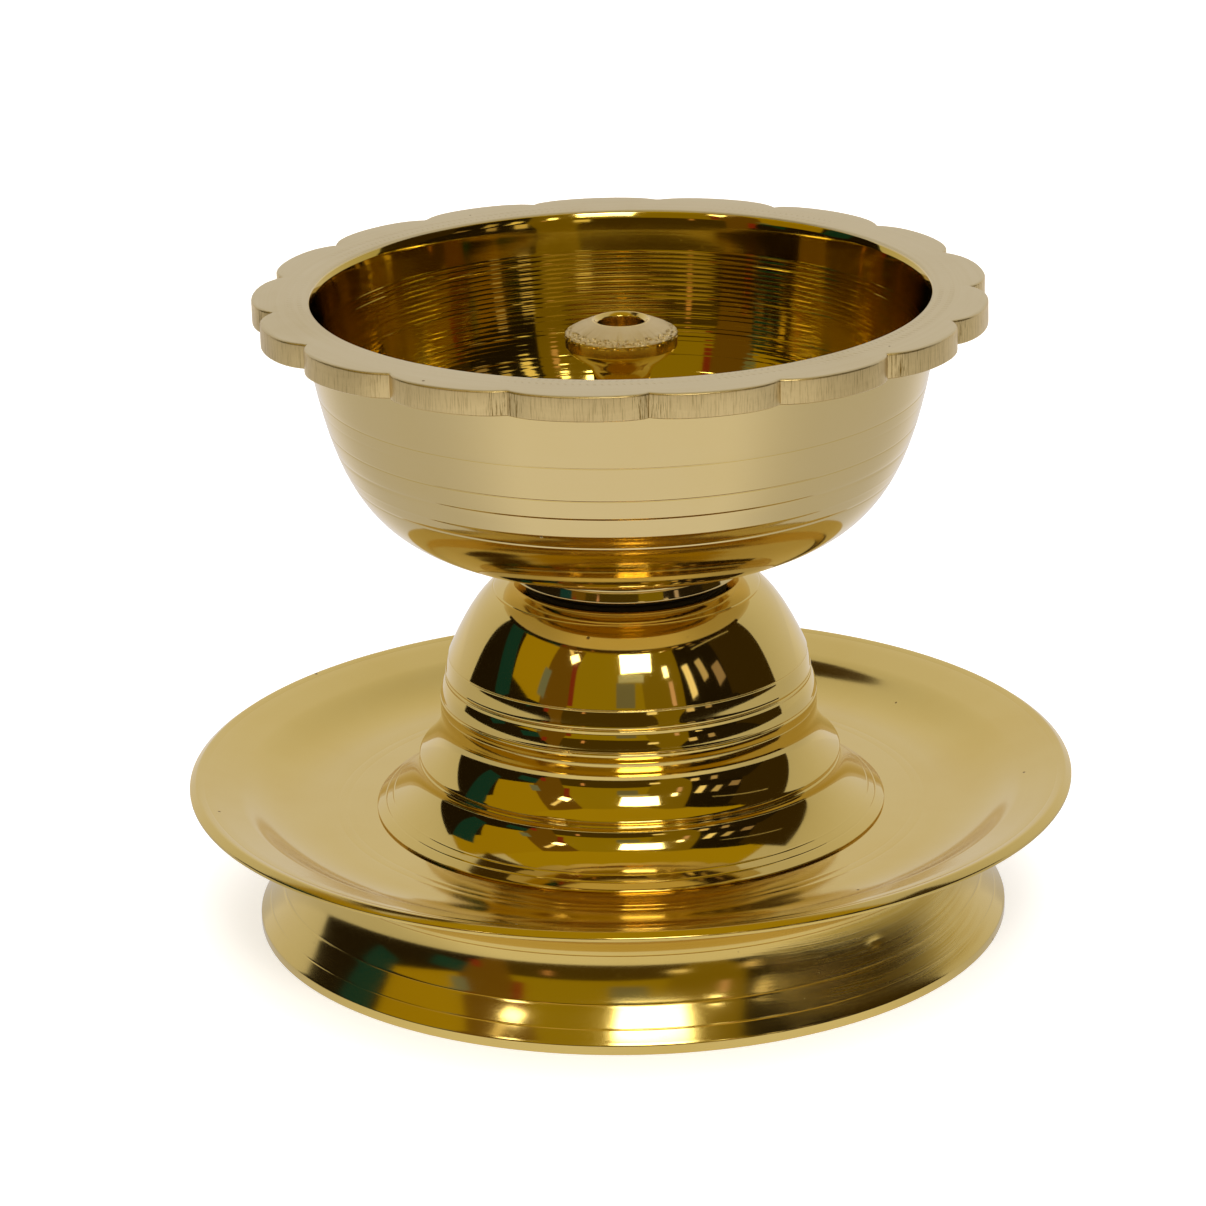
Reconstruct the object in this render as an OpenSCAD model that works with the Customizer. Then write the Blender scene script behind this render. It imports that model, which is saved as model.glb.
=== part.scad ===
// Turned brass oil lamp: a scalloped bowl with a screwed-in wick holder, on a domed
// pedestal that is bolted down into a footed drip dish.
// Millimetres, +Z up, origin on the table at the centre of the foot.

/* [Dish] */
// Diameter of the dish at its lip
dish_d = 102; // [98:1:126]
// Height of the lip above the table
lip_z = 17.6; // [16:0.2:22]
// Height of the dish floor above the table
floor_z = 13.3; // [12:0.1:14]
// Thickness of the dish floor
floor_t = 2.2; // [1.6:0.1:2.8]
// Width of the sloping band inside the lip
rim_w = 5.6; // [4:0.1:7]
// Thickness of the lip's edge
lip_t = 1.0; // [0.8:0.1:1.4]
// Diameter of the foot where it meets the table
foot_d = 86.8; // [84:0.2:92]
// Diameter of the waist between dish and foot
waist_d = 77.6; // [74:0.2:80]
// Width of the ring that rests on the table
foot_w = 2.0; // [1.5:0.1:3]

/* [Pedestal] */
// Diameter of the pedestal's skirt on the dish floor
skirt_d = 59; // [57:0.5:71]
// Diameter at the step between the two flares
step_d = 48.6; // [47:0.2:50]
// Diameter of the band between the dome and the upper flare
ledge_d = 43.4; // [43:0.2:45]
// Largest diameter of the dome
dome_d = 42.4; // [40:0.2:43]
// Diameter of the pedestal's flat top
top_d = 26.6; // [24:0.2:30]
// Height of the pedestal above the dish floor
pedestal_h = 27.4; // [26:0.2:34]
// Wall of the pedestal casting
pedestal_wall = 2.4; // [1.8:0.1:3]
// Thickness of the solid deck that holds the stud
deck_t = 7; // [5:0.5:9]

/* [Bowl] */
// Diameter of the bowl's mouth
mouth_d = 70; // [64:1:84]
// Height of the bowl from its collar to its rim
bowl_h = 33; // [31:0.5:40]
// Wall of the bowl
bowl_wall = 1.5; // [1.2:0.1:2.2]
// Thickness of the scalloped flange
flange_t = 2.9; // [2:0.1:4]
// Width of the flange from the mouth to the lobe tips
flange_w = 6.5; // [5:0.1:8]
// Depth of the notches between the lobes
notch_depth = 2.2; // [1:0.1:2.6]
// Number of lobes round the flange
lobes = 17; // [12:1:20]
// Diameter of the collar under the bowl
collar_d = 26.8; // [24:0.2:28]
// Height of the collar
collar_h = 3.4; // [3:0.1:4.5]
// Diameter of the shoulder that overhangs the collar
shoulder_d = 29.6; // [28.6:0.2:34]

/* [Wick holder] */
// Diameter of the domed cap
cap_d = 12.7; // [11:0.1:15]
// Height of the cap's edge below the bowl's rim
cap_drop = 4.9; // [4:0.1:8]
// Diameter of the neck
neck_d = 6.4; // [6.2:0.1:8]
// Diameter of the mouth in the cap
wick_mouth_d = 5.6; // [4.4:0.1:6]
// Depth of the mouth in the cap
wick_mouth_depth = 3.2; // [2.4:0.1:4]
// Diameter of the wick passage
wick_bore_d = 3.4; // [2.8:0.1:3.8]
// Diameter of the oil feed holes
feed_d = 2.6; // [2:0.1:3]
// Diameter of the boss on the bowl floor
boss_d = 14; // [12.6:0.2:18]
// Height of the boss on the bowl floor
boss_h = 4.2; // [3.8:0.1:6]

/* [Threads and fasteners] */
// Diameter of the pedestal stud
stud_d = 8; // [6:0.5:8.4]
// Length of stud inside the bowl
stud_grip = 3.9; // [3:0.1:4]
// Diameter of the wick holder's screw
screw_d = 4; // [3:0.1:4.6]
// Length of the wick holder's screw
screw_l = 3.8; // [3:0.1:4]
// Radial clearance of the screwed joints
thread_gap = 0.05; // [0.02:0.01:0.1]
// Thickness of the seat washer under the bowl
seat_t = 0.7; // [0.5:0.1:1]
// Thickness of the oil seal under the wick holder
seal_t = 0.5; // [0.4:0.1:0.8]
// Width across the nut's flats
nut_af = 13; // [12:0.5:15]
// Thickness of the nut
nut_t = 4.5; // [3.5:0.1:5]
// Outer diameter of the tie washer
washer_d = 17; // [15:0.5:20]
// Thickness of the tie washer
washer_t = 1.4; // [1:0.1:1.6]

/* [Hidden] */
$fn = 144;

brass = [0.80, 0.66, 0.34];
bright_brass = [0.86, 0.72, 0.40];
black_rubber = [0.08, 0.07, 0.06];

// Heights of the stack, from the table up
dish_r = dish_d / 2;
foot_r = foot_d / 2;
waist_r = waist_d / 2;
underside_z = floor_z - floor_t;
pedestal_z = floor_z + pedestal_h;
collar_z = pedestal_z + seat_t;
shoulder_z = collar_z + collar_h;
rim_z = collar_z + bowl_h;
flange_z = rim_z - flange_t;
cup_floor_z = shoulder_z + bowl_wall + 0.4;
boss_z = cup_floor_z + boss_h;
neck_z = boss_z + seal_t;
cap_edge_z = rim_z - cap_drop;

// Register ring that centres the pedestal on the dish
register_gap = 0.1;
register_r = skirt_d / 2 - pedestal_wall - register_gap;
register_h = 0.6;
register_w = 2;

// Height and width of the foot's upright edge, and where the waist is narrowest
foot_edge_h = 1.1;
waist_z = underside_z - 1.3;

// Bowl outline: the wall leans out to the flange, and the mouth has a small bevel
mouth_r = mouth_d / 2;
mouth_bevel = 0.7;
wall_top_r = mouth_r + 0.8;
shoulder_r = shoulder_d / 2;
bowl_side_h = flange_z - shoulder_z;

// Lobe geometry: equal arcs whose tips and notches lie on two circles
tip_r = mouth_r + flange_w;
notch_r = tip_r - notch_depth;
half_lobe = 180 / lobes;
lobe_centre_r = (tip_r * tip_r - notch_r * notch_r) / (2 * (tip_r - notch_r * cos(half_lobe)));
lobe_r = tip_r - lobe_centre_r;
lobe_steps = 12;
lobe_turn = 19.6;

// Arc that the inner face of the dome follows, before the wall is taken off
ledge_z = floor_z + 12.3;
dome_z = ledge_z + 1.2;
dome_rise = pedestal_z - dome_z;
dome_run = (dome_d - top_d) / 2;
dome_arc_r = (dome_rise * dome_rise + dome_run * dome_run) / (2 * dome_run);
dome_centre_r = dome_d / 2 - dome_arc_r;
step_z = floor_z + 6.5;

// Screw travels: the travel frees the thread and leaves a little room
hole_spare = 0.2;
washer_bore_gap = 0.3;

// Points along an arc about a centre, from one angle to another
function arc(centre, r, from, to, steps) =
    [for (i = [0 : steps]) let (a = from + (to - from) * i / steps)
        centre + r * [cos(a), sin(a)]];

// Points along a cubic curve with four control points
function curve(p, steps) =
    [for (i = [0 : steps]) let (t = i / steps, s = 1 - t)
        s * s * s * p[0] + 3 * s * s * t * p[1] + 3 * s * t * t * p[2] + t * t * t * p[3]];

// Distance from the axis to the scalloped edge, at an angle from the middle of a lobe
function lobe_edge(a) =
    lobe_centre_r * cos(a) + sqrt(lobe_r * lobe_r - pow(lobe_centre_r * sin(a), 2));

// Control points of the bowl's side, moved inwards and up by the given wall
function bowl_side(wall) = [
    [wall_top_r - wall, flange_z],
    [wall_top_r - wall - 2.8, shoulder_z + 0.3 * bowl_side_h + wall],
    [wall_top_r - wall - 6.6, shoulder_z + 1.4 + wall],
    [shoulder_r - wall / 2, shoulder_z + wall]
];

module turned(outline) {
    rotate_extrude() polygon(outline);
}

module ring(outer_r, inner_r, h, z) {
    translate([0, 0, z]) difference() {
        cylinder(r = outer_r, h = h);
        translate([0, 0, -1]) cylinder(r = inner_r, h = h + 2);
    }
}

// Dish, waist and foot, cast as one and turned all over
module base_plate() {
    rim_r = dish_r - rim_w;
    rim_inner_z = lip_z - 1.3;
    floor_r = rim_r - 9;
    hollow = curve([[rim_r, rim_inner_z], [rim_r - 2.2, rim_inner_z - 0.8],
                    [rim_r - 3.6, floor_z], [floor_r, floor_z]], 10);
    dish = concat(
        [[0, underside_z]],
        curve([[floor_r, underside_z], [rim_r - 3, underside_z],
               [rim_r - 1.6, rim_inner_z - lip_t - 1], [rim_r + 0.6, rim_inner_z - lip_t]], 8),
        [[dish_r - 0.6, lip_z - lip_t - 0.3], [dish_r, lip_z - lip_t], [dish_r, lip_z - 0.6],
         [dish_r - 0.7, lip_z]],
        hollow,
        [[0, floor_z]]
    );
    foot = concat(
        [[waist_r - 5.4, floor_z - floor_t / 2], [waist_r - 5.4, underside_z]],
        curve([[waist_r - 4.2, underside_z - 0.6], [waist_r - 2.6, underside_z - 3],
               [waist_r - 1.8, underside_z - 7], [foot_r - foot_w - 0.2, 0]], 6),
        [[foot_r - 0.2, 0], [foot_r, 0.2]],
        [[foot_r, foot_edge_h]],
        curve([[foot_r - 0.1, foot_edge_h + 1.1], [foot_r - 2, foot_edge_h + 2.6],
               [waist_r, waist_z - 3.3], [waist_r, waist_z]], 10),
        curve([[waist_r + 0.1, waist_z + 0.3], [waist_r + 0.5, waist_z + 1.6],
               [waist_r + 1.6, waist_z + 2.6], [waist_r + 3, waist_z + 3.3]], 5)
    );
    color(brass) union() {
        difference() {
            union() {
                turned(dish);
                turned(foot);
            }
            turned(concat([[dish_r, lip_z + 1], [dish_r - 0.7, lip_z]], hollow,
                          [[0, floor_z], [0, lip_z + 1]]));
            translate([0, 0, -1]) cylinder(r = stud_d / 2 + washer_bore_gap, h = lip_z);
        }
        ring(register_r, register_r - register_w, register_h + 0.5, floor_z - 0.5);
    }
}

// Hollow casting: two flares with a step between them, and a dome with a solid deck on top
module pedestal() {
    skirt_r = skirt_d / 2;
    step_r = step_d / 2;
    ledge_r = ledge_d / 2;
    dome_r = dome_d / 2 - 0.6;
    dome_foot_z = dome_z + 4.9;
    dome_h = pedestal_z - dome_foot_z;
    top_r = top_d / 2;
    cavity_r = skirt_r - pedestal_wall;
    deck_z = pedestal_z - deck_t;
    inner_arc_r = dome_arc_r - pedestal_wall;
    deck_angle = asin((deck_z - dome_z) / inner_arc_r);
    color(brass) difference() {
        turned(concat(
            [[0, floor_z], [skirt_r, floor_z]],
            curve([[skirt_r, floor_z + 0.2], [skirt_r - 3.4, floor_z + 2.2],
                   [step_r + 0.1, step_z - 2.5], [step_r + 0.1, step_z - 0.8]], 8),
            [[step_r, step_z - 0.4], [step_r, step_z]],
            curve([[step_r - 0.1, step_z + 0.1], [step_r - 1.2, step_z + 1.1],
                   [ledge_r, step_z + 2.8], [ledge_r, step_z + 4.6]], 8),
            [[ledge_r, ledge_z + 0.9], [ledge_r - 0.2, ledge_z + 1.4]],
            curve([[dome_r, dome_foot_z], [dome_r - 2.3, dome_foot_z + 0.58 * dome_h],
                   [top_r + 2.8, pedestal_z - 0.8], [top_r, pedestal_z]], 16),
            [[0, pedestal_z]]
        ));
        turned(concat(
            [[0, floor_z - 1], [cavity_r, floor_z - 1],
             [cavity_r, floor_z + register_h + 0.2]],
            [[step_r - pedestal_wall, step_z - 2.6], [ledge_r - pedestal_wall, ledge_z - 3.4]],
            arc([dome_centre_r, dome_z], inner_arc_r, 0, deck_angle, 8),
            [[0, deck_z]]
        ));
        translate([0, 0, floor_z]) cylinder(d = stud_d, h = pedestal_h + 1);
    }
}

// Stud that ties the pedestal to the dish and takes the bowl on its upper end
module tie_stud() {
    bottom_z = underside_z - washer_t - nut_t - 1.5;
    color(bright_brass) translate([0, 0, bottom_z])
        cylinder(d = stud_d, h = collar_z + stud_grip - bottom_z);
}

module tie_washer() {
    color(bright_brass)
        ring(washer_d / 2, stud_d / 2 + washer_bore_gap, washer_t, underside_z - washer_t);
}

module tie_nut() {
    nut_z = underside_z - washer_t - nut_t;
    color(bright_brass) difference() {
        translate([0, 0, nut_z]) cylinder(d = nut_af / cos(30), h = nut_t, $fn = 6);
        translate([0, 0, nut_z - 1]) cylinder(d = stud_d, h = nut_t + 2);
    }
}

// Thin rubber washer that fills the shadow gap between bowl and pedestal
module seat_washer() {
    color(black_rubber) ring(top_d / 2 - 1.7, stud_d / 2 + washer_bore_gap, seat_t, pedestal_z);
}

module scalloped_flange() {
    translate([0, 0, flange_z]) rotate([0, 0, lobe_turn]) linear_extrude(flange_t)
        polygon([for (i = [0 : lobes - 1]) for (j = [0 : lobe_steps - 1])
            let (a = half_lobe * (2 * j / lobe_steps - 1))
            lobe_edge(a) * [cos(a + 2 * half_lobe * i + half_lobe),
                            sin(a + 2 * half_lobe * i + half_lobe)]]);
}

// Bowl with its flange, collar and the boss that takes the wick holder
module bowl() {
    inner = bowl_side(bowl_wall);
    color(brass) difference() {
        union() {
            scalloped_flange();
            turned(concat(
                [[0, collar_z], [collar_d / 2, collar_z], [collar_d / 2 - 0.3, shoulder_z - 0.8],
                 [shoulder_r - 0.4, shoulder_z - 0.4]],
                [for (i = [14 : -1 : 0]) curve(bowl_side(0), 14)[i]],
                [[wall_top_r, flange_z + flange_t / 2], [0, flange_z + flange_t / 2]]
            ));
        }
        turned(concat(
            [[0, boss_z], [boss_d / 2 - 0.6, boss_z], [boss_d / 2, boss_z - 0.6],
             [boss_d / 2, cup_floor_z], [inner[3][0] - 0.8, cup_floor_z]],
            [for (i = [13 : -1 : 0]) curve(inner, 14)[i]],
            [[mouth_r - mouth_bevel, rim_z - mouth_bevel], [mouth_r, rim_z],
             [mouth_r, rim_z + 1], [0, rim_z + 1]]
        ));
        translate([0, 0, collar_z - 1])
            cylinder(r = stud_d / 2 + thread_gap, h = stud_grip + hole_spare + 1);
        translate([0, 0, boss_z - screw_l - hole_spare])
            cylinder(r = screw_d / 2 + thread_gap, h = screw_l + hole_spare + 1);
    }
}

module oil_seal() {
    color(black_rubber) ring(neck_d / 2 + 1.2, screw_d / 2 + washer_bore_gap, seal_t, boss_z);
}

// Spool-shaped holder: domed cap, slim neck, seating flange and screw
module wick_holder() {
    cap_r = cap_d / 2;
    neck_r = neck_d / 2;
    cap_side_h = 1.5;
    dome_h = 1.5;
    under_z = cap_edge_z - cap_side_h;
    foot_z = neck_z + 1.6;
    bore_z = foot_z + 1.4;
    mouth_z = cap_edge_z + dome_h - wick_mouth_depth;
    feed_z = bore_z + feed_d / 2;
    color(bright_brass) difference() {
        turned(concat(
            [[0, boss_z - screw_l], [screw_d / 2, boss_z - screw_l], [screw_d / 2, neck_z],
             [neck_r + 1.4, neck_z], [neck_r + 1.4, neck_z + 1]],
            curve([[neck_r + 0.4, foot_z], [neck_r, foot_z + 1],
                   [neck_r, foot_z + 2], [neck_r, foot_z + 3]], 4),
            curve([[neck_r, under_z - 4], [neck_r, under_z - 1.8],
                   [cap_r - 1, under_z - 1.6], [cap_r, under_z]], 8),
            [[cap_r, cap_edge_z - 0.3]],
            curve([[cap_r - 0.3, cap_edge_z], [cap_r - 1.4, cap_edge_z + 0.6],
                   [wick_mouth_d / 2 + 1.4, cap_edge_z + dome_h],
                   [wick_mouth_d / 2 + 0.4, cap_edge_z + dome_h]], 6),
            [[0, cap_edge_z + dome_h]]
        ));
        translate([0, 0, mouth_z]) cylinder(d = wick_mouth_d, h = wick_mouth_depth + 1);
        translate([0, 0, bore_z]) cylinder(d = wick_bore_d, h = mouth_z - bore_z + 1);
        translate([0, 0, feed_z]) rotate([0, 90, 0])
            cylinder(d = feed_d, h = neck_d + 4, center = true);
    }
}

base_plate();
pedestal();
tie_stud();
tie_washer();
tie_nut();
seat_washer();
bowl();
oil_seal();
wick_holder();
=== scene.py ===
import math

import bmesh
import bpy
from mathutils import Matrix, Vector, noise


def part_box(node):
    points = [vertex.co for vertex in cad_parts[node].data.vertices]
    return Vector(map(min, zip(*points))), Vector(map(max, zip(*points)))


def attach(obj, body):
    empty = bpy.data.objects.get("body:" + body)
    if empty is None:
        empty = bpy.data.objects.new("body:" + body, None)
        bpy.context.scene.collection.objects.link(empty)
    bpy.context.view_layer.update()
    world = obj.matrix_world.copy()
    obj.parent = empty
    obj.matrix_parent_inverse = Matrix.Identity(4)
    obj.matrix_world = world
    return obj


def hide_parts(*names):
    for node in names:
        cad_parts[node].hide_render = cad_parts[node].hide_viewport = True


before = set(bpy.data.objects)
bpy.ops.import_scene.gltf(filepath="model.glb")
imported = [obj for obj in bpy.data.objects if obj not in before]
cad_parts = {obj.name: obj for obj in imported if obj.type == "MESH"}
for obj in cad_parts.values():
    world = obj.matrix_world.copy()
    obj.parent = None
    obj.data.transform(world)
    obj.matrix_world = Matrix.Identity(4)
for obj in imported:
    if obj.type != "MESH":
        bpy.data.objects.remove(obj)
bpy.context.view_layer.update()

# ---------------------------------------------------------------- sizes, in millimetres, from the frame

MM = 0.001


def span(node):
    """Lowest and highest height of a CAD node, and its reach from the lamp's axis."""
    low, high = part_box(node)
    reach = max(math.hypot(v.co.x, v.co.y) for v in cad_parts[node].data.vertices)
    return low.z / MM, high.z / MM, reach / MM


lip_z, dish_r = span("base_plate")[1:]
floor_z, pedestal_z, skirt_r = span("pedestal")
collar_z, rim_z, tip_r = span("bowl")
screw_z, cap_z, cap_r = span("wick_holder")
boss_z, neck_z, seal_r = span("oil_seal")
washer_z, underside_z, washer_r = span("tie_washer")
nut_z, nut_top_z, nut_corner_r = span("tie_nut")
stud_z, stud_top_z, stud_r = span("tie_stud")
seat_z, seat_top_z, seat_r = span("seat_washer")

# Dish and foot
foot_r = dish_r - 7.6
waist_r = foot_r - 4.6
waist_z = underside_z - 1.3
rim_r = dish_r - 5.6
rim_inner_z = lip_z - 1.3
# Pedestal
step_z = floor_z + 6.5
step_r = skirt_r - 5.2
band_z = floor_z + 12.3
band_r = skirt_r - 7.8
dome_r = band_r - 1.1
dome_z = band_z + 6.1
dome_top_r = 13.3
# Bowl
lobes = 17
notch_depth = 2.2
first_notch = math.radians(19.6)
mouth_r = tip_r - 6.5
wall_r = mouth_r + 0.8
bowl_wall = 1.5
flange_z = rim_z - 2.9
shoulder_z = collar_z + 3.4
shoulder_r = 14.8
collar_r = 13.4
cup_floor_z = shoulder_z + bowl_wall + 0.4
boss_r = 7.0
# Wick holder
cap_edge_z = cap_z - 1.5
cap_under_z = cap_edge_z - 1.5
neck_r = 3.2
wick_mouth_r = 2.8
wick_bore_r = 1.7
feed_r = 1.3
screw_r = 2.0
stud_pitch = 1.0
screw_pitch = 0.7
play = 0.05

# ---------------------------------------------------------------- outlines

# An outline is a list of (radius, height) points. It runs up the outer side and down the inner
# side, so the metal is always on the left and the open air on the right.


def curve(a, b, c, d, steps):
    """Points on a cubic curve with four control points."""
    made = []
    for i in range(steps + 1):
        t = i / steps
        s = 1 - t
        made.append(tuple(
            s * s * s * a[k] + 3 * s * s * t * b[k] + 3 * s * t * t * c[k] + t * t * t * d[k]
            for k in (0, 1)))
    return made


def eased(outline, radius=0.12, steps=3, least_turn=14, closed=False):
    """Breaks each sharp corner of an outline with a small round."""
    points = [Vector(p) for p in outline]
    made = []
    count = len(points)
    for i, here in enumerate(points):
        if not closed and i in (0, count - 1):
            made.append(here)
            continue
        back = points[i - 1] - here
        ahead = points[(i + 1) % count] - here
        if back.length < 1e-6 or ahead.length < 1e-6:
            continue
        turn = 180 - math.degrees(back.angle(ahead))
        if turn < least_turn:
            made.append(here)
            continue
        start = here + back.normalized() * min(radius, back.length * 0.45)
        end = here + ahead.normalized() * min(radius, ahead.length * 0.45)
        for k in range(steps + 1):
            t = k / steps
            made.append(start * (1 - t) ** 2 + here * 2 * t * (1 - t) + end * t ** 2)
    return [tuple(p) for p in made]


def scored(section, cuts, axis=1):
    """Turns fine lines into a section. Each cut is its place along the axis, its width and its
    depth; a negative depth raises a bead."""
    points = [Vector(p) for p in section]
    for place, width, depth in cuts:
        for i in range(len(points) - 1):
            a, b = points[i], points[i + 1]
            if (a[axis] - place) * (b[axis] - place) <= 0 and a[axis] != b[axis]:
                break
        else:
            continue
        centre = a.lerp(b, (place - a[axis]) / (b[axis] - a[axis]))
        along = (b - a).normalized()
        out = Vector((along.y, -along.x))
        groove = [
            centre + along * width * k / 3 - out * depth * (0.5 + 0.5 * math.cos(math.pi * k / 3))
            for k in range(-3, 4)
        ]
        before = [p for p in points[:i + 1] if (p - centre).length > width]
        after = [p for p in points[i + 1:] if (p - centre).length > width]
        points = before + groove + after
    return [tuple(p) for p in points]


def ringed(section, pitch, depth, samples=5):
    """Leaves a fine ridge along a section at every pitch, uneven from one to the next."""
    made = [Vector(section[0])]
    count = 0
    for i in range(len(section) - 1):
        a, b = Vector(section[i]), Vector(section[i + 1])
        along = (b - a).normalized()
        out = Vector((along.y, -along.x))
        steps = max(1, round((b - a).length * samples / pitch))
        for k in range(1, steps + 1):
            count += 1
            ring = count // samples
            uneven = 0.6 + 0.8 * noise.noise(Vector((ring * 0.73, 3.1, 0.5)))
            ridge = depth * uneven if count % samples == 0 else 0
            made.append(a.lerp(b, k / steps) + out * ridge)
    return [tuple(p) for p in made]


# ---------------------------------------------------------------- meshes


def turned(name, outline, turns, reshape=None, angles=None):
    """A piece turned from an outline. One that starts on the axis is open there, and any other is
    a closed ring. reshape(radius, height, angle) may move a point, and returns radius, height."""
    on_axis = outline[0][0] < 1e-6
    angles = angles or [2 * math.pi * i / turns for i in range(turns)]
    rows = outline[1:-1] if on_axis else outline
    points = []
    for r, z in rows:
        for a in angles:
            rr, zz = reshape(r, z, a) if reshape else (r, z)
            points.append((rr * math.cos(a) * MM, rr * math.sin(a) * MM, zz * MM))
    faces = []
    for j in range(len(rows) if not on_axis else len(rows) - 1):
        k = (j + 1) % len(rows)
        for i in range(turns):
            n = (i + 1) % turns
            faces.append((j * turns + i, j * turns + n, k * turns + n, k * turns + i))
    if on_axis:
        for end, row in ((0, 0), (-1, len(rows) - 1)):
            pole = len(points)
            points.append((0, 0, outline[end][1] * MM))
            for i in range(turns):
                n = (i + 1) % turns
                pair = (row * turns + i, row * turns + n)
                faces.append((pole, *(reversed(pair) if end == 0 else pair)))
    mesh = bpy.data.meshes.new(name)
    mesh.from_pydata(points, [], faces)
    mesh.update()
    mesh.shade_smooth()
    piece = bpy.data.objects.new(name, mesh)
    bpy.context.scene.collection.objects.link(piece)
    tidy_normals(mesh)
    return piece


def tidy_normals(mesh):
    """Turns every face outwards, and keeps corners over 35 degrees crisp."""
    work = bmesh.new()
    work.from_mesh(mesh)
    bmesh.ops.recalc_face_normals(work, faces=work.faces)
    for edge in work.edges:
        if len(edge.link_faces) == 2 and edge.calc_face_angle(0) > math.radians(35):
            edge.smooth = False
    work.to_mesh(mesh)
    work.free()


def threaded(radius, pitch, depth, low, high):
    """A reshape that cuts a screw thread between two heights, running out at both ends."""
    def cut(r, z, a):
        if abs(r - radius) > 0.01 or not low < z < high:
            return r, z
        phase = (z / pitch - a / (2 * math.pi)) % 1
        ends = min(1, (z - low) / pitch, (high - z) / pitch)
        return r - depth * ends * (0.5 + 0.5 * math.cos(2 * math.pi * phase)), z
    return cut


# ---------------------------------------------------------------- pieces


def make_base_plate():
    """Dish and foot, with a hollow under the dish floor."""
    foot = (
        [(foot_r - 2, 0), (foot_r - 0.15, 0), (foot_r, 0.15), (foot_r, 1.15)]
        + scored(curve((foot_r - 0.25, 1.45), (foot_r - 2.1, 3.7), (waist_r + 0.1, waist_z - 2.9),
                       (waist_r, waist_z), 28), [(2.6, 0.12, 0.02), (4.8, 0.1, 0.02)])
        + curve((waist_r + 0.25, waist_z + 0.1), (waist_r + 0.5, waist_z + 1.5),
                (waist_r + 1.6, waist_z + 2.5), (waist_r + 3.4, waist_z + 3.1), 10)
    )
    under = curve((rim_r - 2.6, underside_z + 2.0), (rim_r - 1.4, underside_z + 3.0),
                  (rim_r - 0.4, lip_z - 2.4), (rim_r + 1.4, lip_z - 2.05), 10)
    lip = [(dish_r - 0.7, lip_z - 1.25), (dish_r, lip_z - 0.9), (dish_r, lip_z - 0.55),
           (dish_r - 0.75, lip_z)]
    rim = scored([(dish_r - 1.0, lip_z), (dish_r - 3, lip_z - 0.5), (rim_r, rim_inner_z)],
                 [(dish_r - 1.7, 0.12, 0.02)], axis=0)
    hollow = curve((rim_r - 0.1, rim_inner_z - 0.03), (rim_r - 2.2, rim_inner_z - 0.8),
                   (rim_r - 3.6, floor_z), (rim_r - 9, floor_z), 26)
    floor = scored([(rim_r - 9.3, floor_z), (skirt_r - 2, floor_z)],
                   [(skirt_r + 4.6, 0.25, 0.02), (skirt_r + 3.4, 0.2, 0.015)], axis=0)
    middle = [(8, floor_z), (stud_r + 0.3, floor_z), (stud_r + 0.3, underside_z),
              (washer_r + 1, underside_z)]
    inside = curve((waist_r - 5.4, underside_z), (waist_r - 3.0, underside_z - 2.4),
                   (waist_r - 1.8, underside_z - 7), (foot_r - 2.2, 0), 16)
    outline = eased(foot + under + lip + rim + hollow + floor + middle + inside, closed=True)

    def cast(r, z, a):
        """A casting pit on the foot, a little way round from the front."""
        off = math.hypot(math.degrees(a) - 312.5, (z - 6.7) / 0.45)
        deep = 0.45 * max(0, 1 - off * off) if r > waist_r - 0.1 else 0
        return r - deep, z

    return turned("dish_and_foot", outline, 360, cast)


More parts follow.
